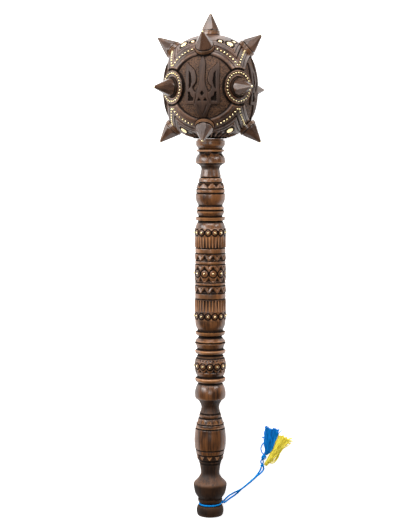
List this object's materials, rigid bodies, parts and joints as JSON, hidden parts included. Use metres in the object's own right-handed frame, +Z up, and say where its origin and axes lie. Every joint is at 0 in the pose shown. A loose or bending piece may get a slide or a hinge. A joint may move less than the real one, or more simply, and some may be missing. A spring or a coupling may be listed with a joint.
{
  "type": "ceremonial mace",
  "caption": "Carved wooden ceremonial mace with a spiked ball head, sunk medallions with tridents, brass inlay, a turned shaft and a corded tassel, lying on its side.",
  "frame": {"origin": "on the ground, under the middle of the mace without its cord and tassels", "axes": "+Z up from the ground, +Y along the shaft towards the head, +X to the right, where the tassels lie"},
  "size_m": [0.1614, 0.5915, 0.128],
  "materials": {
    "walnut": "dark satin varnish, worn lighter on the edges",
    "brass": "polished, slightly dulled",
    "blue_cord": "matt twisted thread",
    "yellow_thread": "matt thread"
  },
  "bodies": {
    "root": {"big_disc_lower_135": "brass", "big_disc_lower_225": "brass", "big_disc_lower_315": "brass", "big_disc_lower_45": "brass", "big_disc_upper_135": "brass", "big_disc_upper_225": "brass", "big_disc_upper_315": "brass", "big_disc_upper_45": "brass", "blue_tassel": "blue_cord", "blue_tassel_knot": "blue_cord", "cord_hitch": "blue_cord", "cord_loop": "blue_cord", "cord_strand_lower": "blue_cord", "cord_strand_upper": "blue_cord", "head_ball": "walnut", "nail_boss_135": "brass", "nail_boss_225": "brass", "nail_boss_315": "brass", "nail_boss_45": "brass", "nail_crown": "brass", "nail_lower_0": "brass", "nail_lower_180": "brass", "nail_lower_270": "brass", "nail_lower_90": "brass", "nail_upper_0": "brass", "nail_upper_180": "brass", "nail_upper_270": "brass", "nail_upper_90": "brass", "shaft": "walnut", "small_disc_118": "brass", "small_disc_152": "brass", "small_disc_208": "brass", "small_disc_242": "brass", "small_disc_28": "brass", "small_disc_298": "brass", "small_disc_332": "brass", "small_disc_62": "brass", "spike_boss_135": "walnut", "spike_boss_225": "walnut", "spike_boss_315": "walnut", "spike_boss_45": "walnut", "spike_crown": "walnut", "spike_lower_0": "walnut", "spike_lower_180": "walnut", "spike_lower_270": "walnut", "spike_lower_90": "walnut", "spike_upper_0": "walnut", "spike_upper_180": "walnut", "spike_upper_270": "walnut", "spike_upper_90": "walnut", "tassel_knot": "blue_cord", "tassel_link": "blue_cord", "yellow_tassel": "yellow_thread"}
  },
  "joints": []
}
